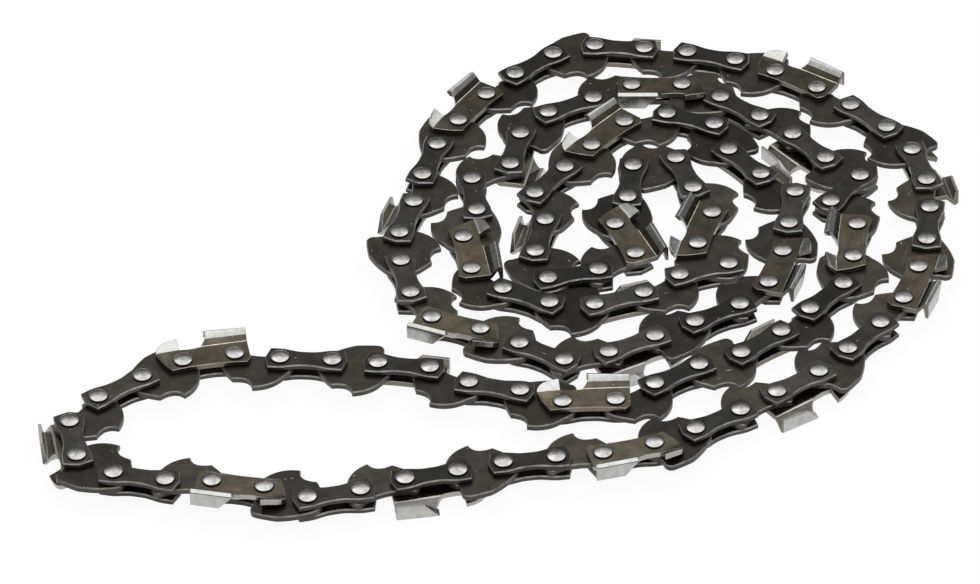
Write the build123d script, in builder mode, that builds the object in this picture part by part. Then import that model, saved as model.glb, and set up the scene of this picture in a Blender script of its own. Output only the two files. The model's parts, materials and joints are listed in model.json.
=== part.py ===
"""Saw chain: one closed loop of drive links, tie straps, cutters and rivets, lying on its side and wound up.

Every link is drawn about the middle of its two rivets, travelling along +X, with the tang towards +Y.
The rivets stand upright, so the loop lies flat and turns only sideways.
"""

import math
import os

from build123d import *

# Chain sizes in millimetres
PITCH = 9.32
RIVET_SPAN = 9.95
LINK_SPAN = 2 * PITCH - RIVET_SPAN
GAUGE = 1.3
SIDE_THICK = 1.1
SIDE_GAP = 0.1
RIVET_RADIUS = 1.9
HEAD_HEIGHT = 0.6
PIVOT_CLEARANCE = 0.05
OPEN_PIVOT_CLEARANCE = 0.1

# The many rivets are eight-sided to keep their facets few, the four that turn are round
RIVET_SIDES = 8

# Drive link: heights from the line between its rivets, the other sizes along that line
TANG_DEPTH = 7.85
TANG_TIP = 0.4
TANG_BACK = ((0.2, 1.8), (2.2, 0.5))
HEEL_HEIGHT = 3.3
HEEL_REACH = 1.7
NOTCH_HEIGHT = 5.8
NOTCH_START = 0.5
NOSE_HEIGHT = 5.9
NOSE_SETBACK = 0.6
ROOT_REACH = 1.8
LINK_LOBE = 2.9
LINK_EDGE = 2.9
EDGE_REACH = 1.2
SADDLE_EDGE = 1.4
SADDLE_HALF = 1.2

# Guard on the back of a drive link
GUARD_HEIGHT = 6.5
GUARD_FALL = 0.55
GUARD_CREST = 1.2
GUARD_TOE = 1.9
GUARD_TOE_EDGE = 2.6
GUARD_HEEL = 0.7
GUARD_LEAN = 0.6

# Tie strap
STRAP_END = 2.9
STRAP_POINT = 0.8
STRAP_WIDTH = 5.7
STRAP_WAIST = 4.2

# Cutter body, measured as the drive link is
CUTTER_TAIL = 2.8
CUTTER_NOSE = 4.8
NOSE_TOP = 2.8
NOSE_TOE = 0.2
NOSE_RAKE = 0.4
FOOT_REACH = 2.4
FOOT_EDGE = 2.6
TAIL_CORNER = 1.0
GULLET_DEPTH = 3.2

# Depth gauge of the cutter
GAUGE_HEIGHT = 5.5
GAUGE_REAR = 0.3
GAUGE_RAKE = 0.2
GAUGE_CREST = 2.9
GAUGE_FALL = 0.5

# Flared side and folded top plate of the cutter
CUTTER_HEIGHT = 6.1
HALF_KERF = 3.75
FLARE_ROOT = 0.6
FLARE_BACK = 0.3
TOP_PLATE_EDGE = 0.4
CUTTING_EDGE = 0.3
EDGE_SLANT = 2.7

# The loop: side link k holds rivets 2k and 2k+1, drive link k joins it to the next side link
SIDE_LINKS = 59
HAIRPIN = 36
LAID_PITCH = 9.32
SETTLE_ROUNDS = 1200

# Runs of the loose bight, which swings as a parallelogram about four round rivets
TIP_SIDES = (58, 0, 1)
TIP_DRIVES = (58, 0)
NEAR_SIDES = (2, 3, 4)
NEAR_DRIVES = (1, 2, 3)
FAR_SIDES = (55, 56, 57)
FAR_DRIVES = (55, 56, 57)
NEAR_CHORD = (9, 3)
FAR_CHORD = (110, 116)

# Each drive link that turns on a round rivet, and which of its ends does
PIVOT_ENDS = {4: -1, 54: 1, 57: 1, 1: -1}
OPEN_PIVOT_LINK = 1
PIVOT_RIVETS = {9: "near_run_pivot_rivet", 110: "far_run_pivot_rivet"}
PIVOT_RIVETS.update({116: "tip_far_pivot_rivet", 3: "tip_near_pivot_rivet"})

# Where the rivets lie, in whole millimetres, in the order of travel
RIVETS_SEEN = [
    (-79, -35), (-78, -44), (-71, -50), (-61, -53), (-53, -53), (-43, -55), (-35, -59), (-25, -57),
    (-17, -54), (-7, -52), (1, -50), (11, -49), (20, -49), (29, -47), (38, -42), (47, -37),
    (53, -32), (62, -27), (67, -20), (74, -13), (79, -7), (82, 3), (85, 11), (86, 22),
    (87, 31), (85, 43), (79, 49), (72, 56), (66, 62), (58, 68), (50, 72), (41, 75),
    (32, 76), (22, 79), (14, 77), (6, 69), (0, 63), (-5, 55), (-11, 46), (-13, 37),
    (-14, 28), (-18, 18), (-17, 10), (-15, 0), (-11, -7), (-2, -11), (6, -16), (14, -20),
    (21, -19), (30, -15), (38, -11), (47, -7), (54, -1), (57, 11), (58, 19), (61, 30),
    (54, 33), (46, 45), (45, 50), (35, 54), (27, 51), (21, 45), (16, 39), (10, 31),
    (11, 22), (9, 12), (11, 4), (21, 6), (28, 11), (25, 21), (27, 28), (28, 37),
    (38, 39), (40, 31), (43, 23), (41, 13), (48, 8), (36, 5), (28, -3), (20, -5),
    (11, -4), (2, 1), (-4, 8), (-5, 17), (-2, 26), (-2, 36), (4, 40), (7, 49),
    (13, 56), (21, 60), (29, 64), (39, 64), (46, 60), (54, 53), (61, 46), (67, 38),
    (72, 33), (67, 25), (71, 18), (70, 8), (69, 1), (61, -7), (55, -15), (48, -21),
    (38, -23), (30, -29), (23, -34), (13, -34), (5, -29), (-5, -27), (-12, -22), (-22, -20),
    (-30, -19), (-40, -18), (-49, -16), (-59, -18), (-66, -22), (-74, -28),
]

# Heights from the middle plane of the chain
PLATE_INNER = GAUGE / 2 + SIDE_GAP
PLATE_OUTER = PLATE_INNER + SIDE_THICK
HEAD_TOP = PLATE_OUTER + HEAD_HEIGHT


def settle(points):
    """Moves the rivets until every link has its true length and the two runs are parallel."""
    scale = PITCH / LAID_PITCH
    rivets = [[x * scale, y * scale] for x, y in points]
    count = len(rivets)
    for _ in range(SETTLE_ROUNDS):
        for i in range(count):
            a, b = rivets[i], rivets[(i + 1) % count]
            span = LINK_SPAN if i % 2 else RIVET_SPAN
            dx, dy = b[0] - a[0], b[1] - a[1]
            length = math.hypot(dx, dy)
            share = (length - span) / length / 2
            a[0] += dx * share
            a[1] += dy * share
            b[0] -= dx * share
            b[1] -= dy * share
        for axis in (0, 1):
            near = rivets[NEAR_CHORD[1]][axis] - rivets[NEAR_CHORD[0]][axis]
            far = rivets[FAR_CHORD[1]][axis] - rivets[FAR_CHORD[0]][axis]
            quarter = (far - near) / 4
            rivets[FAR_CHORD[1]][axis] -= quarter
            rivets[FAR_CHORD[0]][axis] += quarter
            rivets[NEAR_CHORD[1]][axis] += quarter
            rivets[NEAR_CHORD[0]][axis] -= quarter
    return rivets


def cutter_side(k):
    """1 where side link k carries its cutter on the upper side, -1 on the lower side, 0 where it has none."""
    step = k if k < HAIRPIN else k + 1
    if step % 2:
        return 0
    return 1 if step % 4 == 2 else -1


def is_guard(k):
    """A guard link follows every cutter and takes the tight bend at the hairpin."""
    return cutter_side(k) != 0 or k == HAIRPIN - 1


def drive_link(guard, free_end=0, clearance=PIVOT_CLEARANCE):
    """A hooked drive link, with a round hole at the end that turns on a rivet."""
    half = LINK_SPAN / 2
    lobe = half + LINK_LOBE
    tang = [(-half - HEEL_REACH, HEEL_HEIGHT)]
    tang += [(-half + along, TANG_DEPTH - drop) for along, drop in TANG_BACK]
    tang += [(-TANG_TIP, TANG_DEPTH), (NOTCH_START, NOTCH_HEIGHT)]
    tang += [(half - NOSE_SETBACK, NOSE_HEIGHT), (half + ROOT_REACH, HEEL_HEIGHT)]
    if guard:
        edge = [(half + GUARD_TOE, -GUARD_TOE_EDGE), (GUARD_CREST, GUARD_FALL - GUARD_HEIGHT)]
        edge += [(-half - GUARD_HEEL + GUARD_LEAN, -GUARD_HEIGHT), (-half - GUARD_HEEL, -LINK_EDGE)]
    else:
        edge = [(half + EDGE_REACH, -LINK_EDGE), (SADDLE_HALF, -SADDLE_EDGE)]
        edge += [(-SADDLE_HALF, -SADDLE_EDGE), (-half - EDGE_REACH, -LINK_EDGE)]
    with BuildPart() as link:
        with BuildSketch(Plane.XY.offset(-GAUGE / 2)):
            with BuildLine():
                Polyline(*tang, (lobe, 0), *edge, (-lobe, 0), close=True)
            make_face()
        extrude(amount=GAUGE)
        if free_end:
            with Locations((free_end * half, 0)):
                Hole(RIVET_RADIUS + clearance)
    link.part.label = "guard link" if guard else "drive link"
    return link.part


def tie_strap():
    """A waisted tie strap on the upper side, with blunt pointed ends."""
    half = RIVET_SPAN / 2
    end = (half + STRAP_END, 0)
    corner = (end[0] - STRAP_POINT, STRAP_WIDTH / 2)
    waist = (0, STRAP_WAIST / 2)
    with BuildPart() as strap:
        with BuildSketch(Plane.XY.offset(PLATE_INNER)):
            with BuildLine():
                upper = Polyline((-end[0], 0), (-corner[0], corner[1]), waist, corner, end)
                mirror(upper, about=Plane.XZ)
            make_face()
        extrude(amount=SIDE_THICK)
    strap.part.label = "tie strap"
    return strap.part


def cutter():
    """A cutter on the upper side: body with its depth gauge, flared side and folded top plate."""
    half = RIVET_SPAN / 2
    tail = -half - CUTTER_TAIL
    fold = -CUTTER_HEIGHT + SIDE_THICK
    crown = HALF_KERF
    nose = half + CUTTER_NOSE
    gauge = half + GAUGE_REAR
    root = FLARE_ROOT - GULLET_DEPTH
    body = [(nose, -NOSE_TOP), (nose - NOSE_RAKE, -NOSE_TOE), (half + FOOT_REACH, FOOT_EDGE)]
    body += [(0, STRAP_WAIST / 2), (tail + TAIL_CORNER, STRAP_WIDTH / 2)]
    body += [(tail, STRAP_WIDTH / 4), (tail, -GULLET_DEPTH)]
    body += [(gauge, -GULLET_DEPTH), (gauge + GAUGE_RAKE, -GAUGE_HEIGHT)]
    body.append((half + GAUGE_CREST, GAUGE_FALL - GAUGE_HEIGHT))
    flare = [(root, PLATE_INNER), (root, PLATE_OUTER), (fold, crown), (-CUTTER_HEIGHT, crown)]
    flare += [(-CUTTER_HEIGHT, crown - SIDE_THICK), (fold, crown - SIDE_THICK - FLARE_BACK)]
    flare.append((-GULLET_DEPTH - FLARE_BACK, PLATE_INNER))
    top = [(tail, crown), (CUTTING_EDGE, crown)]
    top += [(CUTTING_EDGE - EDGE_SLANT, TOP_PLATE_EDGE), (tail, TOP_PLATE_EDGE)]
    with BuildPart() as tooth:
        with BuildSketch(Plane.XY.offset(PLATE_INNER)):
            with BuildLine():
                Polyline(*body, close=True)
            make_face()
        extrude(amount=SIDE_THICK)
        with BuildSketch(Plane.YZ.offset(tail)):
            with BuildLine():
                Polyline(*flare, close=True)
            make_face()
        extrude(amount=CUTTING_EDGE - tail)
        with BuildSketch(Plane.XZ.offset(-fold)):
            with BuildLine():
                Polyline(*top, close=True)
            make_face()
        extrude(amount=SIDE_THICK)
    tooth.part.label = "cutter"
    return tooth.part


def rivet(turns):
    """A rivet through the whole chain, round where a link turns on it."""
    with BuildPart() as pin:
        with BuildSketch(Plane.XY.offset(-HEAD_TOP)):
            if turns:
                Circle(RIVET_RADIUS)
            else:
                RegularPolygon(RIVET_RADIUS, RIVET_SIDES)
        extrude(amount=2 * HEAD_TOP)
    pin.part.label = "pivot rivet" if turns else "rivet"
    return pin.part


def lower(shape):
    """The same side plate turned to the chain's lower side."""
    turned = mirror(shape, about=Plane.XY)
    turned.label = shape.label
    return turned


def between(shape, start, end):
    """Sets a link between two rivets at the height the wound chain lies at."""
    angle = math.degrees(math.atan2(end[1] - start[1], end[0] - start[0]))
    middle = ((start[0] + end[0]) / 2, (start[1] + end[1]) / 2, HALF_KERF)
    return shape.moved(Location(middle, (0, 0, angle)))


def owner(k, near, far, tip):
    """The run that a link belongs to, and its number there."""
    for name, links in (("near_run", near), ("far_run", far), ("tip", tip)):
        if k in links:
            return name, links.index(k) + 1
    return "coil", 0


def build_nodes():
    """Every piece of the chain, gathered under the name of its node."""
    rivets = settle(RIVETS_SEEN)
    plates = {"strap": tie_strap(), "cutter": cutter()}
    links = {guard: drive_link(guard) for guard in (True, False)}
    pins = {turns: rivet(turns) for turns in (True, False)}
    nodes = {}

    def put(name, piece):
        nodes.setdefault(name, []).append(piece)

    for k in range(SIDE_LINKS):
        first, second = rivets[2 * k], rivets[2 * k + 1]
        following = rivets[(2 * k + 2) % len(rivets)]
        body, number = owner(k, NEAR_SIDES, FAR_SIDES, TIP_SIDES)
        for side, word in ((1, "upper"), (-1, "lower")):
            kind = "cutter" if cutter_side(k) == side else "strap"
            plate = plates[kind] if side > 0 else lower(plates[kind])
            name = f"{body}_{word}_{kind}_{number}" if number else f"coil_{word}_{kind}s"
            put(name, between(plate, first, second))
        for index in (2 * k, 2 * k + 1):
            x, y = rivets[index]
            name = PIVOT_RIVETS.get(index, f"{body}_rivets")
            put(name, pins[index in PIVOT_RIVETS].moved(Location((x, y, HALF_KERF))))
        body, number = owner(k, NEAR_DRIVES, FAR_DRIVES, TIP_DRIVES)
        guard = is_guard(k)
        link = links[guard]
        kind = "guard_link" if guard else "drive_link"
        name = f"{body}_{kind}_{number}" if number else f"coil_{kind}s"
        if k in PIVOT_ENDS:
            clearance = OPEN_PIVOT_CLEARANCE if k == OPEN_PIVOT_LINK else PIVOT_CLEARANCE
            link = drive_link(guard, PIVOT_ENDS[k], clearance)
            if not number:
                name = "coil_near_pivot_link" if k < HAIRPIN else "coil_far_pivot_link"
        put(name, between(link, second, following))
    return nodes


def main():
    """Centres the loop over the origin and writes one file for each node."""
    os.makedirs("parts", exist_ok=True)
    nodes = build_nodes()
    whole = Compound([piece for pieces in nodes.values() for piece in pieces]).bounding_box()
    shift = Location((-whole.center().X, -whole.center().Y, -whole.min.Z))
    for name, pieces in nodes.items():
        moved = [piece.moved(shift) for piece in pieces]
        export_step(moved[0] if len(moved) == 1 else Compound(moved), f"parts/{name}.step")


main()
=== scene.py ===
"""Dresses a wound loop of saw chain in its steel and sets it on a white stage.

The links are drawn in millimetres about the middle of their two rivets, travelling along +X with the tang
towards +Y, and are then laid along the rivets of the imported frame.
"""

import json
import math

import bmesh
import bpy
from bpy.props import FloatProperty, FloatVectorProperty, IntProperty, PointerProperty
from mathutils import Matrix, Vector

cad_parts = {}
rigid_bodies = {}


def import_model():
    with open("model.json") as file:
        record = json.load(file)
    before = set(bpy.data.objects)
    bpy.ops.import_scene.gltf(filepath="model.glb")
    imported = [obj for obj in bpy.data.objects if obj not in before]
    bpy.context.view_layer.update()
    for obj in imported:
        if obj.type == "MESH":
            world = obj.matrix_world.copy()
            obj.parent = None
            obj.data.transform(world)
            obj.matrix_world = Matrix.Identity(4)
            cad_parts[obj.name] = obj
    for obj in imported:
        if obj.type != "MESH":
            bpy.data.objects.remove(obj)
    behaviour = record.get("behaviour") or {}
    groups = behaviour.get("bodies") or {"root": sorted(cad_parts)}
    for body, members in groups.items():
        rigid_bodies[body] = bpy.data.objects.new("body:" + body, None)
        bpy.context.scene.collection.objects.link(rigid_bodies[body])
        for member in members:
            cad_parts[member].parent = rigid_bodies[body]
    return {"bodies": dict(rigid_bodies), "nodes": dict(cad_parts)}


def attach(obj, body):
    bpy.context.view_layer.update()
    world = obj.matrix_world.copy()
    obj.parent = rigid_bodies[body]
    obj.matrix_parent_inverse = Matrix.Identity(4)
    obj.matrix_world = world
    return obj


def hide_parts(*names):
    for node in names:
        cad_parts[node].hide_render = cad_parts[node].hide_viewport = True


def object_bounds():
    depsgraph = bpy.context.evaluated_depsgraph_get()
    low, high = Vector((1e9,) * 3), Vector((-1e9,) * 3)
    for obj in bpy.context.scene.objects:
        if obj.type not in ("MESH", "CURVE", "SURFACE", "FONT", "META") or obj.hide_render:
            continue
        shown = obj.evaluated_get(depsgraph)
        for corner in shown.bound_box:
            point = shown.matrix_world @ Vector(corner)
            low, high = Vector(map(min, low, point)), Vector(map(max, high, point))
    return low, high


bl_info = {
    "name": "Saw Chain Loop",
    "version": (1, 0, 0),
    "blender": (4, 5, 0),
    "location": "View3D > Sidebar > Saw Chain",
    "description": "Lays drive links, tie straps, cutters and rivets along a wound loop of saw chain",
    "category": "Object",
}

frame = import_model()
CAD_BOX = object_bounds()

MM = 0.001

# Spacing of the rivets and thickness of the three layers, in millimetres
SIDE_SPAN = 9.95
LINK_SPAN = 8.69
LINK_THICK = 1.3
SIDE_THICK = 1.1
SIDE_GAP = 0.1
PLATE_INNER = LINK_THICK / 2 + SIDE_GAP
PLATE_OUTER = PLATE_INNER + SIDE_THICK
RIVET_RADIUS = 1.9

# Rivet heads: width over the shank's, straight share of the crown, power of the dome's curve, and rings
HEAD_SWELL = 1.03
HEAD_STRAIGHT = 0.2
DOME_POWER = 0.8
HEAD_RINGS = 12

# The loop has an odd count of side links, so two plain ones follow each other at the hairpin
SIDE_LINKS = 59
HAIRPIN = 36

# The rivet from which the chain is followed, and the number of the side link that starts there
START_RIVET = "far_run_pivot_rivet"
FIRST_SIDE = 55

# Corners of the frame's solids nearer than this are one, and link lengths may differ by this, in millimetres
WELD = 0.001
SPAN_ERROR = 0.02

# Tie strap: its ends past the rivets and their points, half its greatest width, and how its waist swells
STRAP_END = 2.9
STRAP_POINT = 0.8
STRAP_HALF = 2.85
WAIST_FLAT = 0.9
WAIST_RISE = 4.3
STRAP_STATIONS = 16

# Rims that turn by more than this are broken, and are worn by a share
SHARP_TURN = math.radians(38)
RIM_WEAR = 0.65

# Edges that turn by more than this are shaded as edges
SHADE_TURN = math.radians(20)

# What the camera looks at: the height of the rivet heads over the middle of the traced plan
AIM = Vector((-3.17, -10.71, 5.7)) * MM


class ChainSizes(bpy.types.PropertyGroup):
    """Sizes of the links that a user may change."""

    edge_break: FloatProperty(
        name="Edge break",
        description="Width of the broken edge round every plate",
        default=0.22 * MM,
        min=0.02 * MM,
        max=0.5 * MM,
        precision=5,
        subtype="DISTANCE",
        unit="LENGTH",
    )
    strap_waist: FloatProperty(
        name="Strap waist",
        description="Width of a tie strap at its waist",
        default=4.2 * MM,
        min=3.0 * MM,
        max=5.5 * MM,
        precision=5,
        subtype="DISTANCE",
        unit="LENGTH",
    )
    tang_depth: FloatProperty(
        name="Tang depth",
        description="Reach of a drive link's tang from the line between its rivets",
        default=7.85 * MM,
        min=6.5 * MM,
        max=8.5 * MM,
        precision=5,
        subtype="DISTANCE",
        unit="LENGTH",
    )
    rivet_crown: FloatProperty(
        name="Rivet crown",
        description="Height of a rivet's head over its plate",
        default=0.6 * MM,
        min=0.2 * MM,
        max=0.8 * MM,
        precision=5,
        subtype="DISTANCE",
        unit="LENGTH",
    )
    rivet_sides: IntProperty(
        name="Rivet sides",
        description="Faces round a rivet's head",
        default=24,
        min=12,
        max=48,
    )


class ChainFinish(bpy.types.PropertyGroup):
    """Colours of the steels."""

    strap: FloatVectorProperty(
        name="Tie straps",
        description="Grey-black oxide of the tie straps",
        default=(0.040, 0.039, 0.0355),
        min=0.0,
        max=1.0,
        subtype="COLOR",
    )
    drive: FloatVectorProperty(
        name="Drive links",
        description="Brown-black oxide of the drive links",
        default=(0.047, 0.0425, 0.0355),
        min=0.0,
        max=1.0,
        subtype="COLOR",
    )
    cutter: FloatVectorProperty(
        name="Cutter bodies",
        description="Bronze oxide of the cutters' bodies",
        default=(0.11, 0.096, 0.073),
        min=0.0,
        max=1.0,
        subtype="COLOR",
    )
    chrome: FloatVectorProperty(
        name="Chrome",
        description="Frosted chrome of the top plates and depth gauges",
        default=(0.47, 0.47, 0.455),
        min=0.0,
        max=1.0,
        subtype="COLOR",
    )
    rivet: FloatVectorProperty(
        name="Rivet heads",
        description="Bright spun steel of the rivet heads",
        default=(0.50, 0.495, 0.48),
        min=0.0,
        max=1.0,
        subtype="COLOR",
    )
    edge: FloatVectorProperty(
        name="Sheared walls",
        description="Bare steel on the sheared walls of the plates",
        default=(0.18, 0.174, 0.163),
        min=0.0,
        max=1.0,
        subtype="COLOR",
    )
    tone_spread: FloatProperty(
        name="Tone spread",
        description="How much lighter or darker single links are",
        default=0.55,
        min=0.0,
        max=0.6,
        subtype="FACTOR",
    )


class ChainStage(bpy.types.PropertyGroup):
    """Floor, light and camera."""

    floor_size: FloatProperty(
        name="Floor size",
        description="Side of the white floor",
        default=6.0,
        min=1.0,
        max=20.0,
        subtype="DISTANCE",
        unit="LENGTH",
    )
    key_power: FloatProperty(
        name="Key light",
        description="Power of the soft light above the chain",
        default=1.8,
        min=0.0,
        max=60.0,
        unit="POWER",
    )
    distance: FloatProperty(
        name="Camera distance",
        description="From the camera to the middle of the plan",
        default=1.3,
        min=0.3,
        max=5.0,
        subtype="DISTANCE",
        unit="LENGTH",
    )
    elevation: FloatProperty(
        name="Camera elevation",
        description="Angle at which the camera looks down",
        default=math.radians(38.9),
        min=0.0,
        max=math.pi / 2,
        subtype="ANGLE",
        unit="ROTATION",
    )
    roll: FloatProperty(
        name="Camera roll",
        description="Turn of the camera about its line of sight",
        default=math.radians(-1.66),
        min=-math.pi,
        max=math.pi,
        subtype="ANGLE",
        unit="ROTATION",
    )
    lens: FloatProperty(
        name="Lens",
        description="Focal length of the camera in millimetres",
        default=250.0,
        min=20.0,
        max=600.0,
        unit="CAMERA",
    )


def add(tree, kind, inputs=None, **settings):
    """One node with its settings; its inputs, by identifier, are filled or linked."""
    made = tree.nodes.new(kind)
    for name, value in settings.items():
        setattr(made, name, value)
    for identifier, value in (inputs or {}).items():
        target = next(socket for socket in made.inputs if socket.identifier == identifier)
        if isinstance(value, bpy.types.NodeSocket):
            tree.links.new(value, target)
        else:
            target.default_value = value
    return made


def out(node, identifier):
    """An output of a node by its identifier."""
    return next(socket for socket in node.outputs if socket.identifier == identifier)


# Reading the loop from the frame


def solid_centres(node):
    """Middle of every separate solid in a node of upright pins."""
    shape = bmesh.new()
    shape.from_mesh(frame["nodes"][node].data)
    bmesh.ops.remove_doubles(shape, verts=shape.verts, dist=WELD * MM)
    shape.verts.index_update()
    seen = set()
    centres = []
    for first in shape.verts:
        if first.index in seen:
            continue
        seen.add(first.index)
        reached = [first]
        for vert in reached:
            for edge in vert.link_edges:
                other = edge.other_vert(vert)
                if other.index not in seen:
                    seen.add(other.index)
                    reached.append(other)
        centres.append(sum((vert.co for vert in reached), Vector()) / len(reached))
    shape.free()
    return centres


def travel_order():
    """Every rivet as (node, place), in the order the chain runs, from the far run's pivot on."""
    nodes = [node for node in sorted(frame["nodes"]) if "rivet" in node]
    left = [(node, place) for node in nodes for place in solid_centres(node)]
    start = next(rivet for rivet in left if rivet[0] == START_RIVET)
    left.remove(start)
    order = [start]
    while left:
        here = order[-1][1]
        span = (SIDE_SPAN if len(order) % 2 else LINK_SPAN) * MM
        following = min(left, key=lambda rivet: abs((rivet[1] - here).length - span))
        if abs((following[1] - here).length - span) > SPAN_ERROR * MM:
            raise RuntimeError("The rivets of the frame don't follow each other at the link lengths")
        left.remove(following)
        order.append(following)
    return order


def cutter_side(k):
    """The side on which side link k carries its cutter, or None."""
    step = k if k < HAIRPIN else k + 1
    if step % 2:
        return None
    return "upper" if step % 4 == 2 else "lower"


def body_of(node):
    """The body whose name the node starts with."""
    return next(body for body in frame["bodies"] if node.startswith(body))


def laid(start, end):
    """Middle and heading of a link between two rivets."""
    run = end - start
    return (start + end) / 2, math.atan2(run.y, run.x)


def chain_plan():
    """For every node of links: its kind and where its links lie."""
    rivets = travel_order()
    numbers = {}
    plan = {}

    def put(body, words, kind, place):
        """Finds the node that the link stands for, numbered in the moving runs."""
        node = f"coil_{words}s"
        if body != "coil":
            node = f"{body}_{words}_{numbers[body, kind.split('_')[0]]}"
        plan.setdefault(node, (kind, []))[1].append(place)

    for step in range(SIDE_LINKS):
        k = (FIRST_SIDE + step) % SIDE_LINKS
        first, second = rivets[2 * step], rivets[2 * step + 1]
        third = rivets[(2 * step + 2) % len(rivets)]
        body = body_of(first[0])
        numbers[body, "side"] = numbers.get((body, "side"), 0) + 1
        for side in ("upper", "lower"):
            kind = "cutter" if cutter_side(k) == side else "strap"
            put(body, f"{side}_{kind}", f"side_{side}_{kind}", laid(first[1], second[1]))
        guard = cutter_side(k) is not None or k == HAIRPIN - 1
        kind = "guard_link" if guard else "drive_link"
        pivots = [node for node, _ in (second, third) if "pivot" in node]
        body = next(body_of(node) for node, _ in (second, third) if "pivot" not in node)
        numbers[body, "drive"] = numbers.get((body, "drive"), 0) + 1
        place = laid(second[1], third[1])
        if pivots and body == "coil":
            node = "coil_" + pivots[0].replace("_run_pivot_rivet", "_pivot_link")
            plan[node] = (f"drive_{kind}", [place])
        else:
            put(body, kind, f"drive_{kind}", place)
    for node in frame["nodes"]:
        if "rivet" in node:
            plan[node] = ("rivet", [(place, 0.0) for place in solid_centres(node)])
    if set(plan) != set(frame["nodes"]):
        strays = set(plan) ^ set(frame["nodes"])
        raise RuntimeError(f"The plan and the frame name different nodes: {strays}")
    return plan


# Outlines, in millimetres


def bow(start, end, sag, steps):
    """Points after start up to end, on a curve that stands sag to the right of the straight line."""
    (x0, y0), (x1, y1) = start, end
    length = math.hypot(x1 - x0, y1 - y0)
    right = ((y1 - y0) / length, (x0 - x1) / length)
    points = []
    for i in range(1, steps + 1):
        t = i / steps
        lift = 4 * sag * t * (1 - t)
        points.append((x0 + (x1 - x0) * t + right[0] * lift, y0 + (y1 - y0) * t + right[1] * lift))
    return points


def trace(start, *runs):
    """A closed outline from its first point and runs of (end, sag, steps)."""
    points = [start]
    for end, sag, steps in runs:
        points += bow(points[-1], end, sag, steps)
    return points[:-1]


def strap_half(x, waist):
    """Half the width of a strap at x: a waist that swells smoothly into the wide ends."""
    share = min(1.0, max(0.0, (abs(x) - WAIST_FLAT) / WAIST_RISE))
    return waist + (STRAP_HALF - waist) * share * share * (3 - 2 * share)


def strap_outline(sizes):
    """A strap with a waist between two blunt pointed ends."""
    end = SIDE_SPAN / 2 + STRAP_END
    shoulder = end - STRAP_POINT
    waist = sizes.strap_waist / MM / 2
    xs = [shoulder * (2 * i / STRAP_STATIONS - 1) for i in range(STRAP_STATIONS + 1)]
    edge = [(x, -strap_half(x, waist)) for x in xs]
    return [(-end, 0), *edge, (end, 0), *((-x, -y) for x, y in edge)]


# A drive link's backs as runs of (end, sag, steps), from the rear lobe to the front one
LINK_HALF = LINK_SPAN / 2
LINK_LOBE = LINK_HALF + 2.9
PLAIN_BACK = (
    ((-LINK_HALF - 1.2, -2.9), 0.4, 4),
    ((LINK_HALF + 1.2, -2.9), -1.5, 12),
    ((LINK_LOBE, 0), 0.4, 4),
)
GUARD_BACK = (
    ((-LINK_HALF - 0.75, -2.9), 0.3, 3),
    ((-LINK_HALF - 0.55, -5.3), -0.15, 3),
    ((-LINK_HALF + 0.6, -6.5), 0.25, 4),
    ((0.6, -6.15), 0.08, 4),
    ((LINK_HALF + 1.9, -2.6), 0.3, 7),
    ((LINK_LOBE, 0), 0.35, 4),
)


def drive_outline(sizes, guard):
    """A hooked drive link with a plain saddle, or with a raised guard on its back."""
    shoulder = (LINK_HALF + 1.8, 3.3)
    nose = (LINK_HALF - 0.6, 5.9)
    notch = (1.3, 5.78)
    tip = (-0.4, sizes.tang_depth / MM)
    heel = (-LINK_HALF - 1.7, 3.3)
    return trace(
        (-LINK_LOBE, 0),
        *(GUARD_BACK if guard else PLAIN_BACK),
        (shoulder, 0.3, 4),
        (nose, 0.05, 3),
        (notch, -0.14, 4),
        (tip, -0.4, 5),
        (heel, 1.0, 10),
        ((-LINK_LOBE, 0), 0.35, 4),
    )


# Solids from outlines


def bevel(shape, chosen, width, wear):
    """Breaks the chosen edges and marks how much the new faces are worn."""
    made = bmesh.ops.bevel(
        shape,
        geom=chosen,
        offset=width,
        offset_type="OFFSET",
        segments=1,
        profile=0.5,
        affect="EDGES",
        clamp_overlap=True,
    )
    marks = shape.faces.layers.float
    for face in made["faces"]:
        face[marks["worn"]] = wear
        face[marks["sheared"]] = 0.0
        face[marks["plated"]] = 0.0


def break_edges(shape, width):
    """Breaks the rims between a plate's sides and its sheared walls."""
    shape.normal_update()
    sheared = shape.faces.layers.float["sheared"]
    rims = [edge for edge in shape.edges if sum(face[sheared] > 0 for face in edge.link_faces) == 1]
    bevel(shape, [edge for edge in rims if edge.calc_face_angle(0) > SHARP_TURN], width, RIM_WEAR)


def new_shape():
    """An empty shape whose faces can be marked as sheared, worn, plated or ground."""
    shape = bmesh.new()
    for mark in ("sheared", "worn", "plated", "ground"):
        shape.faces.layers.float.new(mark)
    return shape


def wall(shape, corners, ground=0.0):
    """A sheared wall of the plate between its two sides, ground bright where its mark is 1.0."""
    face = shape.faces.new(corners)
    face[shape.faces.layers.float["sheared"]] = 1.0
    face[shape.faces.layers.float["ground"]] = ground


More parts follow.
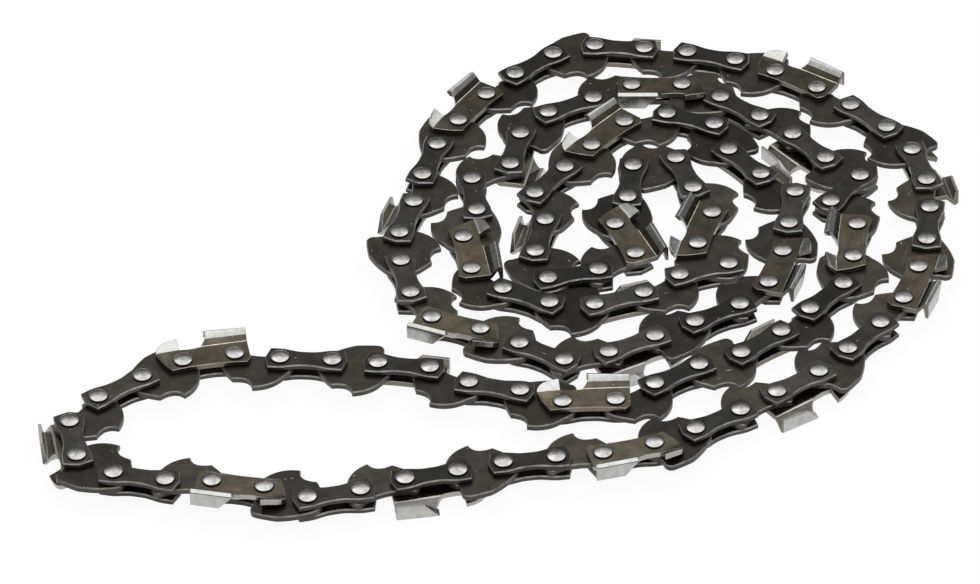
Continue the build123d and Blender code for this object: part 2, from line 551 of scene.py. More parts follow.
def folded_plate(outline, bottom, top, folds=(), gullet=()):
    """A stamped plate, with folds that grow from stretches of its outline.

    A fold is (first, last, rows, ground, bare). It grows from the points first to last of the outline. Each
    of its rows has a pair of points, an outer and an inner one, for every point of that stretch. Its inner
    side is ground bright where ground is 1.0, and as many rows as bare says have no chrome after the first,
    which is the worn line along the fold. The walls of the gullet, by index, and the front and end of a fold
    are ground.
    """
    shape = new_shape()
    count = len(outline)
    outer = [shape.verts.new((x, y, top)) for x, y in outline]
    inner = [shape.verts.new((x, y, bottom)) for x, y in outline]
    shape.faces.new(outer)
    shape.faces.new(list(reversed(inner)))
    folded = {i for first, last, *_ in folds for i in range(first, last)}
    marks = shape.faces.layers.float
    for i in range(count):
        if i not in folded:
            j = (i + 1) % count
            wall(shape, (inner[i], inner[j], outer[j], outer[i]), ground=float(i in gullet))
    for first, last, rows, ground, bare in folds:
        lines = [(outer[first : last + 1], inner[first : last + 1])]
        for row in rows:
            lines.append(tuple([shape.verts.new(pair[layer]) for pair in row] for layer in (0, 1)))
        for step, ((near_out, near_in), (far_out, far_in)) in enumerate(zip(lines, lines[1:])):
            for i in range(last - first):
                face = shape.faces.new((near_out[i + 1], near_out[i], far_out[i], far_out[i + 1]))
                face[marks["plated"]] = float(step > bare)
                face[marks["worn"]] = float(step == 0)
                face = shape.faces.new((near_in[i], near_in[i + 1], far_in[i + 1], far_in[i]))
                face[marks["ground"]] = ground
            wall(shape, (near_out[0], near_in[0], far_in[0], far_out[0]))
            wall(shape, (near_in[-1], near_out[-1], far_out[-1], far_in[-1]), ground=1.0)
        edge_out, edge_in = lines[-1]
        for i in range(last - first):
            wall(shape, (edge_in[i], edge_in[i + 1], edge_out[i + 1], edge_out[i]), ground=1.0)
    return shape


def link_object(name, shape, sizes, mirrored=False):
    """Turns a shape into a link object in metres, on the lower side of the chain where mirrored."""
    break_edges(shape, sizes.edge_break / MM)
    if mirrored:
        bmesh.ops.scale(shape, vec=(1, 1, -1), verts=shape.verts)
        bmesh.ops.reverse_faces(shape, faces=shape.faces)
    bmesh.ops.scale(shape, vec=(MM, MM, MM), verts=shape.verts)
    mesh = bpy.data.meshes.new(name)
    shape.to_mesh(mesh)
    shape.free()
    mesh.shade_smooth()
    mesh.set_sharp_from_angle(angle=SHADE_TURN)
    link = bpy.data.objects.new(name, mesh)
    bpy.context.scene.collection.objects.link(link)
    return link


def drive_link(sizes, guard):
    """The middle layer's link, plain or with a guard."""
    shape = folded_plate(drive_outline(sizes, guard), -LINK_THICK / 2, LINK_THICK / 2)
    return link_object("guard_link" if guard else "drive_link", shape, sizes)


def tie_strap(sizes, side):
    """The outer layers' plain link."""
    shape = folded_plate(strap_outline(sizes), PLATE_INNER, PLATE_OUTER)
    return link_object(f"{side}_strap", shape, sizes, side == "lower")


# Cutter: its tail and nose past the rivets, the line of its folds, its tooth's front and its gauge's rear
CUTTER_TAIL = 2.8
CUTTER_NOSE = 4.8
FOLD_LINE = -3.2
TOOTH_FRONT = 1.4
GAUGE_REAR = 5.25
GULLET_SAG = -0.18
GULLET_STEPS = 6

# Each row of the tooth: outer and inner (y, z), how far forward it reaches, and how much lower its tail is
TOOTH_ROWS = (
    ((-3.36, 1.92), (-3.34, 0.79), 1.10, 0.02),
    ((-3.62, 2.18), (-3.57, 0.87), 0.78, 0.05),
    ((-4.25, 2.83), (-4.05, 1.45), 0.20, 0.12),
    ((-4.75, 3.30), (-4.45, 1.93), 0.02, 0.20),
    ((-5.05, 3.58), (-4.68, 2.22), 0.00, 0.25),
    ((-5.20, 3.70), (-4.80, 2.36), 0.04, 0.28),
    ((-5.33, 3.75), (-4.88, 2.45), 0.08, 0.30),
    ((-5.45, 3.735), (-4.93, 2.49), 0.12, 0.32),
    ((-6.00, 3.40), (-5.00, 2.50), 0.28, 0.36),
    ((-6.07, 3.29), (-5.045, 2.48), 0.20, 0.36),
    ((-6.10, 3.16), (-5.08, 2.43), 0.08, 0.36),
    ((-6.10, 2.40), (-5.25, 1.80), -0.65, 0.36),
    ((-6.10, 0.40), (-5.50, 0.40), -2.40, 0.36),
)

# Each row of the depth gauge: its height above the fold, how far it leans out, and its rear and front ends
GAUGE_ROWS = (
    (0.16, 0.05, 5.28, 9.76),
    (0.70, 0.34, 5.36, 9.66),
    (1.40, 0.68, 5.42, 9.20),
    (1.95, 0.94, 5.46, 8.40),
    (2.35, 1.12, 5.50, 7.20),
)

# Steps along the fold of the tooth and of the gauge, and their rows without chrome after the worn line
TOOTH_STATIONS = 7
TOOTH_BARE = 2
GAUGE_STATIONS = 5
GAUGE_BARE = 0

# The gauge falls towards its front, and its outer face stops short of its inner one by a share of its lean
GAUGE_FALL = 0.4
GAUGE_SKEW = 0.25


def stations(first, last, steps):
    """Even steps from first to last, with both."""
    return [first + (last - first) * i / steps for i in range(steps + 1)]


def tooth_rows(xs):
    """Rows of the flared side, the crown and the top plate, each reaching forward as far as it should."""
    rear, fold_front = xs[0], xs[-1]
    rows = []
    for (outer_y, outer_z), (inner_y, inner_z), front, drop in TOOTH_ROWS:
        row = []
        for x in xs:
            share = (x - rear) / (fold_front - rear)
            along = rear + (front - rear) * share
            lower = drop * (1 - share)
            outer = (along, outer_y + lower, outer_z - lower / 2)
            inner = (along, inner_y + lower, inner_z - lower / 2)
            row.append((outer, inner))
        rows.append(row)
    return rows


def gauge_rows():
    """Rows of the depth gauge, which leans out of the plate and narrows towards its top."""
    rows = []
    for height, lean, rear, front in GAUGE_ROWS:
        row = []
        for i, along in enumerate(stations(rear, front, GAUGE_STATIONS)):
            y = FOLD_LINE - height + GAUGE_FALL * i / GAUGE_STATIONS
            outer = (along, y + GAUGE_SKEW * lean, PLATE_OUTER + lean)
            inner = (along, y, PLATE_INNER + lean)
            row.append((outer, inner))
        rows.append(row)
    return rows


def cutter(sizes, side):
    """A cutter stamped and folded from one sheet: body, depth gauge, flared side and top plate."""
    half = SIDE_SPAN / 2
    rear = -half - CUTTER_TAIL
    tooth_xs = stations(rear, TOOTH_FRONT, TOOTH_STATIONS)
    gauge_xs = stations(GAUGE_REAR, half + CUTTER_NOSE, GAUGE_STATIONS)
    underside = (
        ((half + 2.4, 2.6), 0.25, 4),
        ((rear + 1.0, 2.8), -0.55, 9),
        ((rear, 1.6), 0.1, 2),
    )
    outline = [(x, FOLD_LINE) for x in tooth_xs]
    outline += bow((TOOTH_FRONT, FOLD_LINE), (GAUGE_REAR, FOLD_LINE), GULLET_SAG, GULLET_STEPS)[:-1]
    gauge_start = len(outline)
    outline += [(x, FOLD_LINE + GAUGE_FALL * i / GAUGE_STATIONS) for i, x in enumerate(gauge_xs)]
    for end, sag, steps in underside:
        outline += bow(outline[-1], end, sag, steps)
    folds = (
        (0, TOOTH_STATIONS, tooth_rows(tooth_xs), 1.0, TOOTH_BARE),
        (gauge_start, gauge_start + GAUGE_STATIONS, gauge_rows(), 0.0, GAUGE_BARE),
    )
    gullet = range(TOOTH_STATIONS, gauge_start)
    shape = folded_plate(outline, PLATE_INNER, PLATE_OUTER, folds, gullet)
    return link_object(f"{side}_cutter", shape, sizes, side == "lower")


# Geometry Nodes that lay the links along the loop


def new_tree(name, inputs):
    """A tree with its named inputs, and its two end nodes."""
    tree = bpy.data.node_groups.new(name, "GeometryNodeTree")
    for label, kind in inputs:
        tree.interface.new_socket(label, in_out="INPUT", socket_type=kind)
    tree.interface.new_socket("Row", in_out="OUTPUT", socket_type="NodeSocketGeometry")
    return tree, tree.nodes.new("NodeGroupInput"), tree.nodes.new("NodeGroupOutput")


def lay_row(tree, given, end, link):
    """Lays the link on every place, gives each its own tone, and ends as one mesh in one finish."""
    position = add(tree, "GeometryNodeInputPosition")
    local = add(
        tree,
        "ShaderNodeVectorMath",
        {"Vector": position.outputs["Position"], "Scale": 1 / MM},
        operation="SCALE",
    )
    drawn = add(
        tree,
        "GeometryNodeStoreNamedAttribute",
        {"Geometry": link, "Name": "local", "Value": local.outputs["Vector"]},
        data_type="FLOAT_VECTOR",
        domain="POINT",
    )
    heading = add(tree, "GeometryNodeInputNamedAttribute", {"Name": "heading"}, data_type="FLOAT")
    euler = add(tree, "ShaderNodeCombineXYZ", {"Z": heading.outputs["Attribute"]})
    turned = add(tree, "FunctionNodeEulerToRotation", {"Euler": euler.outputs["Vector"]})
    placed = add(
        tree,
        "GeometryNodeInstanceOnPoints",
        {
            "Points": given.outputs["Places"],
            "Instance": drawn.outputs["Geometry"],
            "Rotation": turned.outputs["Rotation"],
        },
    )
    chance = add(tree, "FunctionNodeRandomValue", {"Seed": given.outputs["Seed"]}, data_type="FLOAT")
    toned = add(
        tree,
        "GeometryNodeStoreNamedAttribute",
        {"Geometry": placed.outputs["Instances"], "Name": "tone", "Value": out(chance, "Value_001")},
        data_type="FLOAT",
        domain="INSTANCE",
    )
    row = add(tree, "GeometryNodeRealizeInstances", {"Geometry": toned.outputs["Geometry"]})
    dressed = add(
        tree,
        "GeometryNodeSetMaterial",
        {"Geometry": row.outputs["Geometry"], "Material": given.outputs["Finish"]},
    )
    tree.links.new(dressed.outputs["Geometry"], end.inputs["Row"])


def link_row_tree():
    """Lays a finished link object along the loop."""
    inputs = (
        ("Places", "NodeSocketGeometry"),
        ("Link", "NodeSocketObject"),
        ("Finish", "NodeSocketMaterial"),
        ("Seed", "NodeSocketInt"),
    )
    tree, given, end = new_tree("Link Row", inputs)
    link = add(tree, "GeometryNodeObjectInfo", {"Object": given.outputs["Link"]})
    lay_row(tree, given, end, link.outputs["Geometry"])
    return tree


def rivet_row_tree():
    """Draws a rivet with a crowned head at both ends and lays it along the loop."""
    inputs = (
        ("Places", "NodeSocketGeometry"),
        ("Radius", "NodeSocketFloat"),
        ("Crown", "NodeSocketFloat"),
        ("Half Length", "NodeSocketFloat"),
        ("Sides", "NodeSocketInt"),
        ("Rings", "NodeSocketInt"),
        ("Finish", "NodeSocketMaterial"),
        ("Seed", "NodeSocketInt"),
    )
    tree, given, end = new_tree("Rivet Row", inputs)
    ball = add(
        tree,
        "GeometryNodeMeshUVSphere",
        {"Segments": given.outputs["Sides"], "Rings": given.outputs["Rings"], "Radius": 1.0},
    )
    position = add(tree, "GeometryNodeInputPosition")
    parts = add(tree, "ShaderNodeSeparateXYZ", {"Vector": position.outputs["Position"]})
    across = [times(tree, parts.outputs[axis], given.outputs["Radius"]) for axis in "XY"]
    end_sign = reckon(tree, "SIGN", parts.outputs["Z"])
    height = times(tree, parts.outputs["Z"], end_sign)
    blunt = reckon(tree, "POWER", height, DOME_POWER)
    side = times(tree, given.outputs["Crown"], HEAD_STRAIGHT)
    dome = times(tree, blunt, times(tree, given.outputs["Crown"], 1 - HEAD_STRAIGHT))
    reach = plus(tree, plus(tree, dome, side), given.outputs["Half Length"])
    spread = add(
        tree,
        "ShaderNodeCombineXYZ",
        {"X": across[0], "Y": across[1], "Z": times(tree, reach, end_sign)},
    )
    pulled = add(
        tree,
        "GeometryNodeSetPosition",
        {"Geometry": ball.outputs["Mesh"], "Position": spread.outputs["Vector"]},
    )
    smooth = add(tree, "GeometryNodeSetShadeSmooth", {"Geometry": pulled.outputs["Geometry"]})
    lay_row(tree, given, end, smooth.outputs["Geometry"])
    return tree


def grow(node, tree, places, values):
    """Runs a tree on the places of a node and keeps the result as one plain mesh that stands for it."""
    name = f"{node}.steel"
    mesh = bpy.data.meshes.new(name)
    mesh.from_pydata([place for place, _ in places], [], [])
    heading = mesh.attributes.new("heading", "FLOAT", "POINT")
    heading.data.foreach_set("value", [angle for _, angle in places])
    piece = bpy.data.objects.new(name, mesh)
    bpy.context.scene.collection.objects.link(piece)
    maker = piece.modifiers.new("Row", "NODES")
    maker.node_group = tree
    values["Seed"] = sorted(frame["nodes"]).index(node)
    for item in tree.interface.items_tree:
        if item.in_out == "INPUT" and item.name in values:
            maker[item.identifier] = values[item.name]
    depsgraph = bpy.context.evaluated_depsgraph_get()
    result = bpy.data.meshes.new_from_object(piece.evaluated_get(depsgraph), depsgraph=depsgraph)
    piece.modifiers.remove(maker)
    piece.data = result
    result.name = name
    bpy.data.meshes.remove(mesh)
    return piece


def stand_for(piece, node):
    """Lets the piece ride on its node's body in the node's place."""
    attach(piece, body_of(node))
    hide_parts(node)


def lay_links(kinds, finish):
    """Grows every node of the given kinds from its link object, then drops the link objects."""
    tree = link_row_tree()
    for node, (kind, places) in sorted(chain_plan().items()):
        if kind in kinds:
            piece = grow(node, tree, places, {"Link": kinds[kind], "Finish": finish})
            stand_for(piece, node)
    for link in kinds.values():
        bpy.data.objects.remove(link)


# Finishes

# Noise per millimetre along, across and through a link, for brushed streaks, streaks of frost and nicks
STREAK_STRETCH = (0.1, 2.6, 2.6)
FROST_STRETCH = (2.6, 2.6, 0.1)
NICK_STRETCH = (0.7, 2.6, 2.6)

# How far apart the links' patterns lie in the noise, in millimetres, and where most of its values lie
PATTERN_REACH = 83.0
NOISE_LOW = 0.3
NOISE_HIGH = 0.7

# Oxide: its tints, the darkest and lightest shade of its mottle and streaks, and which noise shows as nicks
WARM_TINT = (1.06, 1.0, 0.92, 1.0)
COOL_TINT = (0.95, 1.0, 1.03, 1.0)
TINT_DRIFT = (0.35, 0.65)
MOTTLE_SHADES = (0.7, 1.35)
STREAK_SHADES = (0.86, 1.14)
NICK_NOISE = (0.77, 0.80)
NICK_SHINE = 3.0

# An oxide skin is a little dull, and duller on the sheared walls
OXIDE_METAL = 0.8
WALL_METAL = 0.3

# Least share of the bare steel that shows on torn walls, and of the shine that shows on rubbed edges
TORN_LEAST = 0.6
RUBBED_LEAST = 0.4
RUBBED_NOISE = (0.3, 0.6)

# Cutters: their bare steel and ground faces over the plain edge, and the shades of the frosted chrome
CUTTER_EDGE = 1.5
GROUND_SHINE = 2.2
FROST_SHADES = (0.88, 1.14)
FROST_STREAKS = (0.94, 1.04)

# Smoothest and roughest spots of the steels, and what a worn rim adds
OXIDE_ROUGHNESS = (0.28, 0.4)
CUTTER_ROUGHNESS = (0.22, 0.36)
RIVET_ROUGHNESS = (0.14, 0.26)
OXIDE_RIM = 0.12
CUTTER_RIM = 0.2

# Rivet heads: sectors of painted sheen, the shades of sectors, rings and stains, and how tone moves them
PAINTED_SHEEN_SECTORS = 2
PAINTED_SHEEN_SHADES = (0.85, 1.1)
RING_SHADES = (-0.05, 0.05)
STAIN_SHADES = (-0.3, 0.1)
STAIN_NOISE = (0.3, 0.65)
PAINTED_SHEEN_TURN = 2.0
RING_REACH = 50.0

# The painted shadow at a rivet head's rim starts and is full this far from its edge, in millimetres
PAINTED_SHADOW_START = 0.14
PAINTED_SHADOW_FULL = 0.04
PAINTED_SHADOW_DARKNESS = 0.4


def new_finish(name):
    """A metal with its node tree, its shader and the link's own coordinates, moved apart link by link."""
    material = bpy.data.materials.new(name)
    material.use_nodes = True
    tree = material.node_tree
    shader = tree.nodes["Principled BSDF"]
    shader.inputs["Metallic"].default_value = 1.0
    local = add(tree, "ShaderNodeAttribute", attribute_name="local").outputs["Vector"]
    tone = add(tree, "ShaderNodeAttribute", attribute_name="tone").outputs["Fac"]
    apart = add(tree, "ShaderNodeVectorMath", {"Vector": tone, "Scale": PATTERN_REACH}, operation="SCALE")
    own = add(
        tree,
        "ShaderNodeVectorMath",
        {"Vector": local, "Vector_001": apart.outputs["Vector"]},
        operation="ADD",
    )
    return material, tree, shader, local, own.outputs["Vector"], tone


def noise(tree, vector, scale, detail=3.0, roughness=0.55):
    """Noise along a vector in millimetres."""
    made = add(
        tree,
        "ShaderNodeTexNoise",
        {"Vector": vector, "Scale": scale, "Detail": detail, "Roughness": roughness},
    )
    return made.outputs["Fac"]


def stretched(tree, vector, factors):
    """A vector scaled axis by axis, for noise that runs along one of them."""
    made = add(
        tree,
        "ShaderNodeVectorMath",
        {"Vector": vector, "Vector_001": factors},
        operation="MULTIPLY",
    )
    return made.outputs["Vector"]


def ranged(tree, value, low, high, to_low=0.0, to_high=1.0):
    """A value brought from one range into another and held there."""
    made = add(
        tree,
        "ShaderNodeMapRange",
        {"Value": value, "From Min": low, "From Max": high, "To Min": to_low, "To Max": to_high},
    )
    return made.outputs["Result"]


def varied(tree, pattern, low=0.0, high=1.0):
    """A noise pattern brought to run from low to high."""
    return ranged(tree, pattern, NOISE_LOW, NOISE_HIGH, low, high)


def mixed(tree, share, first, second, blend="MIX"):
    """Two colours mixed by a share."""
    made = add(
        tree,
        "ShaderNodeMix",
        {"Factor_Float": share, "A_Color": first, "B_Color": second},
        data_type="RGBA",
        blend_type=blend,
    )
    return out(made, "Result_Color")


def tinted(tree, base, tint):
    """A colour multiplied by another one, or by a value."""
    return mixed(tree, 1.0, base, tint, "MULTIPLY")


def reckon(tree, operation, first, second=0.0):
    """Result of an operation on one value or two."""
    made = add(tree, "ShaderNodeMath", {"Value": first, "Value_001": second}, operation=operation)
    return made.outputs["Value"]


def times(tree, first, second):
    """Product of two values."""
    return reckon(tree, "MULTIPLY", first, second)


def plus(tree, first, second):
    """Sum of two values."""
    return reckon(tree, "ADD", first, second)


def shade(color, factor):
    """A colour made lighter or darker, with full alpha."""
    return (*(min(1.0, channel * factor) for channel in color[:3]), 1.0)


def marked(tree, name):
    """A mark on the faces of a link."""
    return add(tree, "ShaderNodeAttribute", attribute_name=name).outputs["Fac"]


def roughen(tree, shader, height, depth):
    """Bump of a height pattern, with its depth in millimetres."""
    bump = add(tree, "ShaderNodeBump", {"Height": height, "Distance": depth * MM, "Strength": 1.0})
    tree.links.new(bump.outputs["Normal"], shader.inputs["Normal"])


def satin(tree, shader, pattern, reach, rim):
    """Roughness that varies over a plate and grows on its worn rims."""
    rough = varied(tree, pattern, *reach)
    tree.links.new(plus(tree, rough, times(tree, marked(tree, "worn"), rim)), shader.inputs["Roughness"])


def oxide(tree, own, tone, color, spread):
    """Oxide that is mottled over a plate, with its own tone on every link."""
    darkest, lightest = MOTTLE_SHADES
    mottle = varied(tree, noise(tree, own, scale=0.33, detail=5.0))
    base = mixed(tree, mottle, shade(color, darkest), shade(color, lightest))
    warmth = ranged(tree, noise(tree, own, scale=0.14, detail=2.0), *TINT_DRIFT)
    base = tinted(tree, base, mixed(tree, warmth, COOL_TINT, WARM_TINT))
    brushed = noise(tree, stretched(tree, own, STREAK_STRETCH), scale=1.0, detail=2.0)
    base = tinted(tree, base, varied(tree, brushed, *STREAK_SHADES))
    return tinted(tree, base, ranged(tree, tone, 0.0, 1.0, 1.0 - spread, 1.0 + spread))


def edges(tree, own, base, color, bareness, shine):
    """Sheared walls with torn streaks, bare by a share, and bright broken edges."""
    streaks = varied(tree, noise(tree, own, scale=0.9, detail=2.0), TORN_LEAST * bareness, bareness)
    torn = times(tree, marked(tree, "sheared"), streaks)
    with_walls = mixed(tree, torn, base, shade(color, 1.0))
    wear = ranged(tree, noise(tree, own, scale=0.6), *RUBBED_NOISE, RUBBED_LEAST, 1.0)
    rubbed = times(tree, marked(tree, "worn"), wear)
    return mixed(tree, rubbed, with_walls, shade(color, shine))


def nicks(tree, own, base, color):
    """A few bright nicks in the oxide."""
    grit = noise(tree, stretched(tree, own, NICK_STRETCH), scale=1.0, detail=1.0)
    return mixed(tree, ranged(tree, grit, *NICK_NOISE), base, shade(color, NICK_SHINE))


def oxide_steel(name, color, finish, bareness, shine):
    """Satin oxide on stamped plates."""
    material, tree, shader, _, own, tone = new_finish(name)
    base = oxide(tree, own, tone, color, finish.tone_spread)
    base = nicks(tree, own, base, finish.edge)
    base = edges(tree, own, base, finish.edge, bareness, shine)
    tree.links.new(base, shader.inputs["Base Color"])
    metal = ranged(tree, marked(tree, "sheared"), 0.0, 1.0, OXIDE_METAL, WALL_METAL)
    tree.links.new(metal, shader.inputs["Metallic"])
    satin(tree, shader, noise(tree, own, scale=0.8), OXIDE_ROUGHNESS, OXIDE_RIM)
    roughen(tree, shader, noise(tree, own, scale=5.0, detail=4.0), depth=0.006)
    return material


def cutter_steel(finish):
    """Bronze oxide on the body, frosted chrome on the flared side, the top plate and the depth gauge."""
    material, tree, shader, _, own, tone = new_finish("cutter_steel")
    base = oxide(tree, own, tone, finish.cutter, finish.tone_spread / 2)
    base = nicks(tree, own, base, finish.edge)
    base = edges(tree, own, base, shade(finish.edge, CUTTER_EDGE), bareness=0.5, shine=2.4)
    base = mixed(tree, marked(tree, "ground"), base, shade(finish.edge, GROUND_SHINE))
    darkest, lightest = FROST_SHADES
    clouds = varied(tree, noise(tree, own, scale=0.8))
    frost = mixed(tree, clouds, shade(finish.chrome, darkest), shade(finish.chrome, lightest))
    brushed = noise(tree, stretched(tree, own, FROST_STRETCH), scale=1.0, detail=2.0)
    frost = tinted(tree, frost, varied(tree, brushed, *FROST_STREAKS))
    tree.links.new(mixed(tree, marked(tree, "plated"), base, frost), shader.inputs["Base Color"])
    satin(tree, shader, noise(tree, own, scale=1.2), CUTTER_ROUGHNESS, CUTTER_RIM)
    roughen(tree, shader, noise(tree, own, scale=1.5, detail=2.0), depth=0.004)
    return material


def rivet_steel(finish):
    """Bright heads with rings from spinning, a painted two-lobed highlight and a painted shadow at the rim.
    """
    material, tree, shader, local, own, tone = new_finish("rivet_steel")
    flat = stretched(tree, local, (1, 1, 0))
    radius = add(tree, "ShaderNodeVectorMath", {"Vector": flat}, operation="LENGTH").outputs["Value"]
    angle = add(tree, "ShaderNodeTexGradient", {"Vector": local}, gradient_type="RADIAL").outputs["Fac"]
    # Painted sheen: the head's colour is lighter in two opposite sectors and darker between them, turned by
    # its tone
    turned = plus(tree, times(tree, angle, 2 * math.pi * PAINTED_SHEEN_SECTORS), times(tree, tone, PAINTED_SHEEN_TURN))
    painted_sheen = ranged(tree, reckon(tree, "SINE", turned), -1.0, 1.0, *PAINTED_SHEEN_SHADES)
    ring_line = add(tree, "ShaderNodeCombineXYZ", {"X": radius, "Y": times(tree, tone, RING_REACH)})
    rings = noise(tree, ring_line.outputs["Vector"], scale=5.0, detail=2.0)
    painted_sheen_and_rings = plus(tree, painted_sheen, varied(tree, rings, *RING_SHADES))
    stains = ranged(tree, noise(tree, own, scale=1.1, detail=3.0), *STAIN_NOISE, *STAIN_SHADES)
    bright = tinted(tree, shade(finish.rivet, 1.0), plus(tree, painted_sheen_and_rings, stains))
    # Painted shadow: the head's edge turns to a dark shade of strap oxide, standing in for the shade in the
    # gap under the head
    rim = ranged(tree, radius, RIVET_RADIUS - PAINTED_SHADOW_START, RIVET_RADIUS - PAINTED_SHADOW_FULL)
    tree.links.new(mixed(tree, rim, bright, shade(finish.strap, PAINTED_SHADOW_DARKNESS)), shader.inputs["Base Color"])
    tree.links.new(varied(tree, rings, *RIVET_ROUGHNESS), shader.inputs["Roughness"])
    roughen(tree, shader, noise(tree, own, scale=2.0, detail=3.0), depth=0.012)
    return material


# Operators


class SAWCHAIN_OT_drive_links(bpy.types.Operator):
    """Lays the hooked drive links, plain and with a guard, in the middle layer"""

    bl_idname = "saw_chain.drive_links"
    bl_label = "Drive Links"

    def execute(self, context):
        sizes, finish = context.scene.chain_sizes, context.scene.chain_finish
        steel = oxide_steel("drive_steel", finish.drive, finish, bareness=0.15, shine=2.2)
        kinds = {
            "drive_drive_link": drive_link(sizes, guard=False),
            "drive_guard_link": drive_link(sizes, guard=True),
        }
        lay_links(kinds, steel)
        return {"FINISHED"}


class SAWCHAIN_OT_tie_straps(bpy.types.Operator):
    """Lays the waisted tie straps on both sides"""

    bl_idname = "saw_chain.tie_straps"
    bl_label = "Tie Straps"

    def execute(self, context):
        sizes, finish = context.scene.chain_sizes, context.scene.chain_finish
        steel = oxide_steel("strap_steel", finish.strap, finish, bareness=0.02, shine=2.6)
        kinds = {f"side_{side}_strap": tie_strap(sizes, side) for side in ("upper", "lower")}
        lay_links(kinds, steel)
        return {"FINISHED"}


class SAWCHAIN_OT_cutters(bpy.types.Operator):
    """Lays the folded cutters on both sides"""

    bl_idname = "saw_chain.cutters"
    bl_label = "Cutters"

    def execute(self, context):
        sizes, finish = context.scene.chain_sizes, context.scene.chain_finish
        kinds = {f"side_{side}_cutter": cutter(sizes, side) for side in ("upper", "lower")}
        lay_links(kinds, cutter_steel(finish))
        return {"FINISHED"}


class SAWCHAIN_OT_rivets(bpy.types.Operator):
    """Sets a rivet with two crowned heads in every place"""

    bl_idname = "saw_chain.rivets"
    bl_label = "Rivets"

    def execute(self, context):
        sizes, finish = context.scene.chain_sizes, context.scene.chain_finish
        tree = rivet_row_tree()
        values = {
            "Radius": RIVET_RADIUS * HEAD_SWELL * MM,
            "Crown": sizes.rivet_crown,
            "Half Length": PLATE_OUTER * MM,
            "Sides": sizes.rivet_sides,
            "Rings": HEAD_RINGS,
            "Finish": rivet_steel(finish),
        }
        for node, (kind, places) in sorted(chain_plan().items()):
            if kind == "rivet":
                stand_for(grow(node, tree, places, values), node)
        return {"FINISHED"}


# Stage: the soft light's place and width and the camera's nearest and farthest sight, in metres
LIGHT_PLACE = (0.05, -0.01, 0.43)
LIGHT_WIDTH = 0.8
SIGHT = (0.05, 50.0)

# The floor's gap under the chain, in millimetres, its tone where lit, its glow, and how much shadow it shows
FLOOR_GAP = 0.02
FLOOR_TONE = 0.8
FLOOR_GLOW = 0.93
FLOOR_SHADOW = 0.1

# The background's strength as a light, and in reflections, where it brightens between two heights of the sky
SKY_LIGHT = 0.3
SKY_HEIGHTS = (0.45, 0.75)
SKY_MIRRORED = (0.14, 0.86)


def grey(value):
    """A neutral colour with full alpha."""
    return (value, value, value, 1.0)


def lit_white(tree, path):
    """1 for the rays that should see the white background, 0 for those that carry light."""
    seen = plus(tree, path.outputs["Is Camera Ray"], path.outputs["Is Glossy Ray"])
    return plus(tree, seen, path.outputs["Is Transmission Ray"])


def white_floor(size):
    """A white floor that keeps the chain's soft shadow."""
    shape = bmesh.new()
    bmesh.ops.create_grid(shape, x_segments=1, y_segments=1, size=size / 2)
    mesh = bpy.data.meshes.new("floor")
    shape.to_mesh(mesh)
    shape.free()
    floor = bpy.data.objects.new("floor", mesh)
    floor.location.z = CAD_BOX[0].z - FLOOR_GAP * MM
    bpy.context.scene.collection.objects.link(floor)
    material = bpy.data.materials.new("white_floor")
    material.use_nodes = True
    tree = material.node_tree
    tree.nodes.clear()
    path = add(tree, "ShaderNodeLightPath")
    matte = add(tree, "ShaderNodeBsdfDiffuse", {"Color": grey(FLOOR_TONE)})
    pale = add(tree, "ShaderNodeBsdfDiffuse", {"Color": grey(FLOOR_SHADOW)})
    glow = add(tree, "ShaderNodeEmission", {"Color": grey(1.0), "Strength": FLOOR_GLOW})
    shown = add(
        tree,
        "ShaderNodeAddShader",
        {"Shader": pale.outputs["BSDF"], "Shader_001": glow.outputs["Emission"]},
    )
    choice = add(
        tree,
        "ShaderNodeMixShader",
        {
            "Fac": lit_white(tree, path),
            "Shader": matte.outputs["BSDF"],
            "Shader_001": shown.outputs["Shader"],
        },
    )
    end = tree.nodes.new("ShaderNodeOutputMaterial")
    tree.links.new(choice.outputs["Shader"], end.inputs["Surface"])
    mesh.materials.append(material)


def studio_world():
    """White to the eye, dim towards the horizon in reflections, and dimmer as a light."""
    world = bpy.data.worlds.new("studio")
    bpy.context.scene.world = world
    world.use_nodes = True
    tree = world.node_tree
    tree.nodes.clear()
    path = add(tree, "ShaderNodeLightPath")
    ray = add(tree, "ShaderNodeTexCoord").outputs["Generated"]
    up = add(tree, "ShaderNodeSeparateXYZ", {"Vector": ray}).outputs["Z"]
    mirrored = ranged(tree, up, *SKY_HEIGHTS, *SKY_MIRRORED)
    strength = mixed(tree, lit_white(tree, path), grey(SKY_LIGHT), mirrored)
    strength = mixed(tree, path.outputs["Is Camera Ray"], strength, grey(1.0))
    back = add(tree, "ShaderNodeBackground", {"Color": strength})
    end = tree.nodes.new("ShaderNodeOutputWorld")
    tree.links.new(back.outputs["Background"], end.inputs["Surface"])


def soft_light(name, place, size, power):
    """A square soft light that faces the chain."""
    data = bpy.data.lights.new(name, "AREA")
    data.shape = "SQUARE"
    data.size = size
    data.energy = power
    light = bpy.data.objects.new(name, data)
    light.location = place
    light.rotation_euler = (AIM - Vector(place)).to_track_quat("-Z", "Y").to_euler()
    bpy.context.scene.collection.objects.link(light)


def aim_camera(stage):
    """The photograph's view: a long lens, from the front and above, with a slight roll."""
    data = bpy.data.cameras.new("camera")
    data.lens = stage.lens
    data.clip_start, data.clip_end = SIGHT
    camera = bpy.data.objects.new("camera", data)
    away = Vector((0, -math.cos(stage.elevation), math.sin(stage.elevation)))
    tilt = Matrix.Rotation(math.pi / 2 - stage.elevation, 4, "X")
    roll = Matrix.Rotation(stage.roll, 4, "Z")
    camera.matrix_world = Matrix.Translation(AIM + away * stage.distance) @ tilt @ roll
    bpy.context.scene.collection.objects.link(camera)
    bpy.context.scene.camera = camera


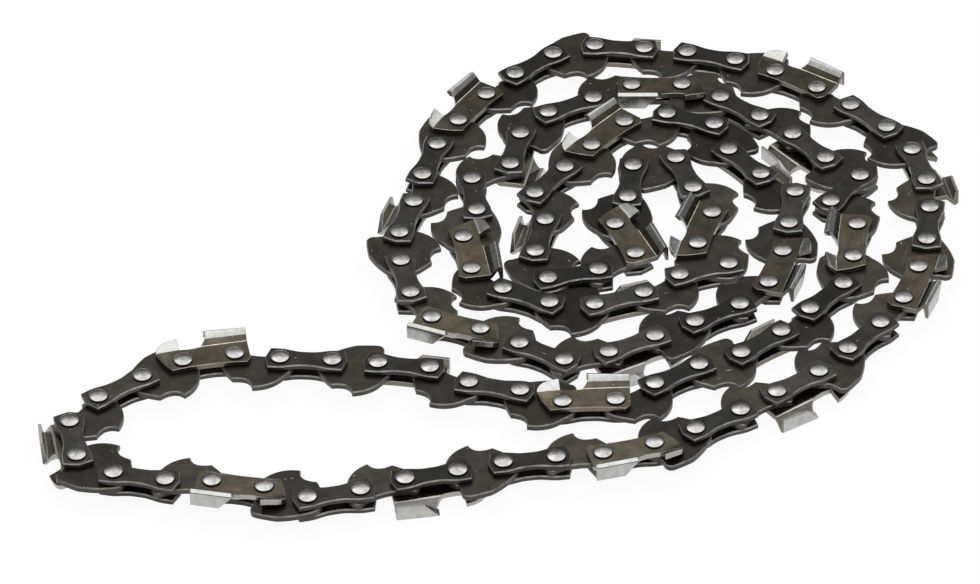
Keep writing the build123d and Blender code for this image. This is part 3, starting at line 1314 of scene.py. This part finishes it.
class SAWCHAIN_OT_stage(bpy.types.Operator):
    """Sets the white floor, the soft light and the camera"""

    bl_idname = "saw_chain.stage"
    bl_label = "Stage"

    def execute(self, context):
        stage = context.scene.chain_stage
        white_floor(stage.floor_size)
        studio_world()
        soft_light("key", LIGHT_PLACE, LIGHT_WIDTH, stage.key_power)
        aim_camera(stage)
        context.scene.view_settings.view_transform = "Standard"
        return {"FINISHED"}


class SAWCHAIN_PT_loop(bpy.types.Panel):
    """Lists the steps that dress the chain"""

    bl_label = "Saw Chain"
    bl_idname = "SAWCHAIN_PT_loop"
    bl_space_type = "VIEW_3D"
    bl_region_type = "UI"
    bl_category = "Saw Chain"

    def draw(self, context):
        for group in (context.scene.chain_sizes, context.scene.chain_finish, context.scene.chain_stage):
            box = self.layout.box()
            for name in group.__annotations__:
                box.prop(group, name)
        for step in STEPS:
            self.layout.operator(step.bl_idname)


STEPS = (
    SAWCHAIN_OT_drive_links,
    SAWCHAIN_OT_tie_straps,
    SAWCHAIN_OT_cutters,
    SAWCHAIN_OT_rivets,
    SAWCHAIN_OT_stage,
)
CLASSES = (ChainSizes, ChainFinish, ChainStage, *STEPS, SAWCHAIN_PT_loop)


def register():
    """Adds the chain's classes and settings."""
    for cls in CLASSES:
        bpy.utils.register_class(cls)
    bpy.types.Scene.chain_sizes = PointerProperty(type=ChainSizes)
    bpy.types.Scene.chain_finish = PointerProperty(type=ChainFinish)
    bpy.types.Scene.chain_stage = PointerProperty(type=ChainStage)


def unregister():
    """Takes the chain's settings and classes away."""
    del bpy.types.Scene.chain_stage
    del bpy.types.Scene.chain_finish
    del bpy.types.Scene.chain_sizes
    for cls in reversed(CLASSES):
        bpy.utils.unregister_class(cls)


def main():
    """Dresses the chain step by step."""
    register()
    bpy.ops.saw_chain.drive_links()
    bpy.ops.saw_chain.tie_straps()
    bpy.ops.saw_chain.cutters()
    bpy.ops.saw_chain.rivets()
    bpy.ops.saw_chain.stage()


if __name__ == "__main__":
    main()
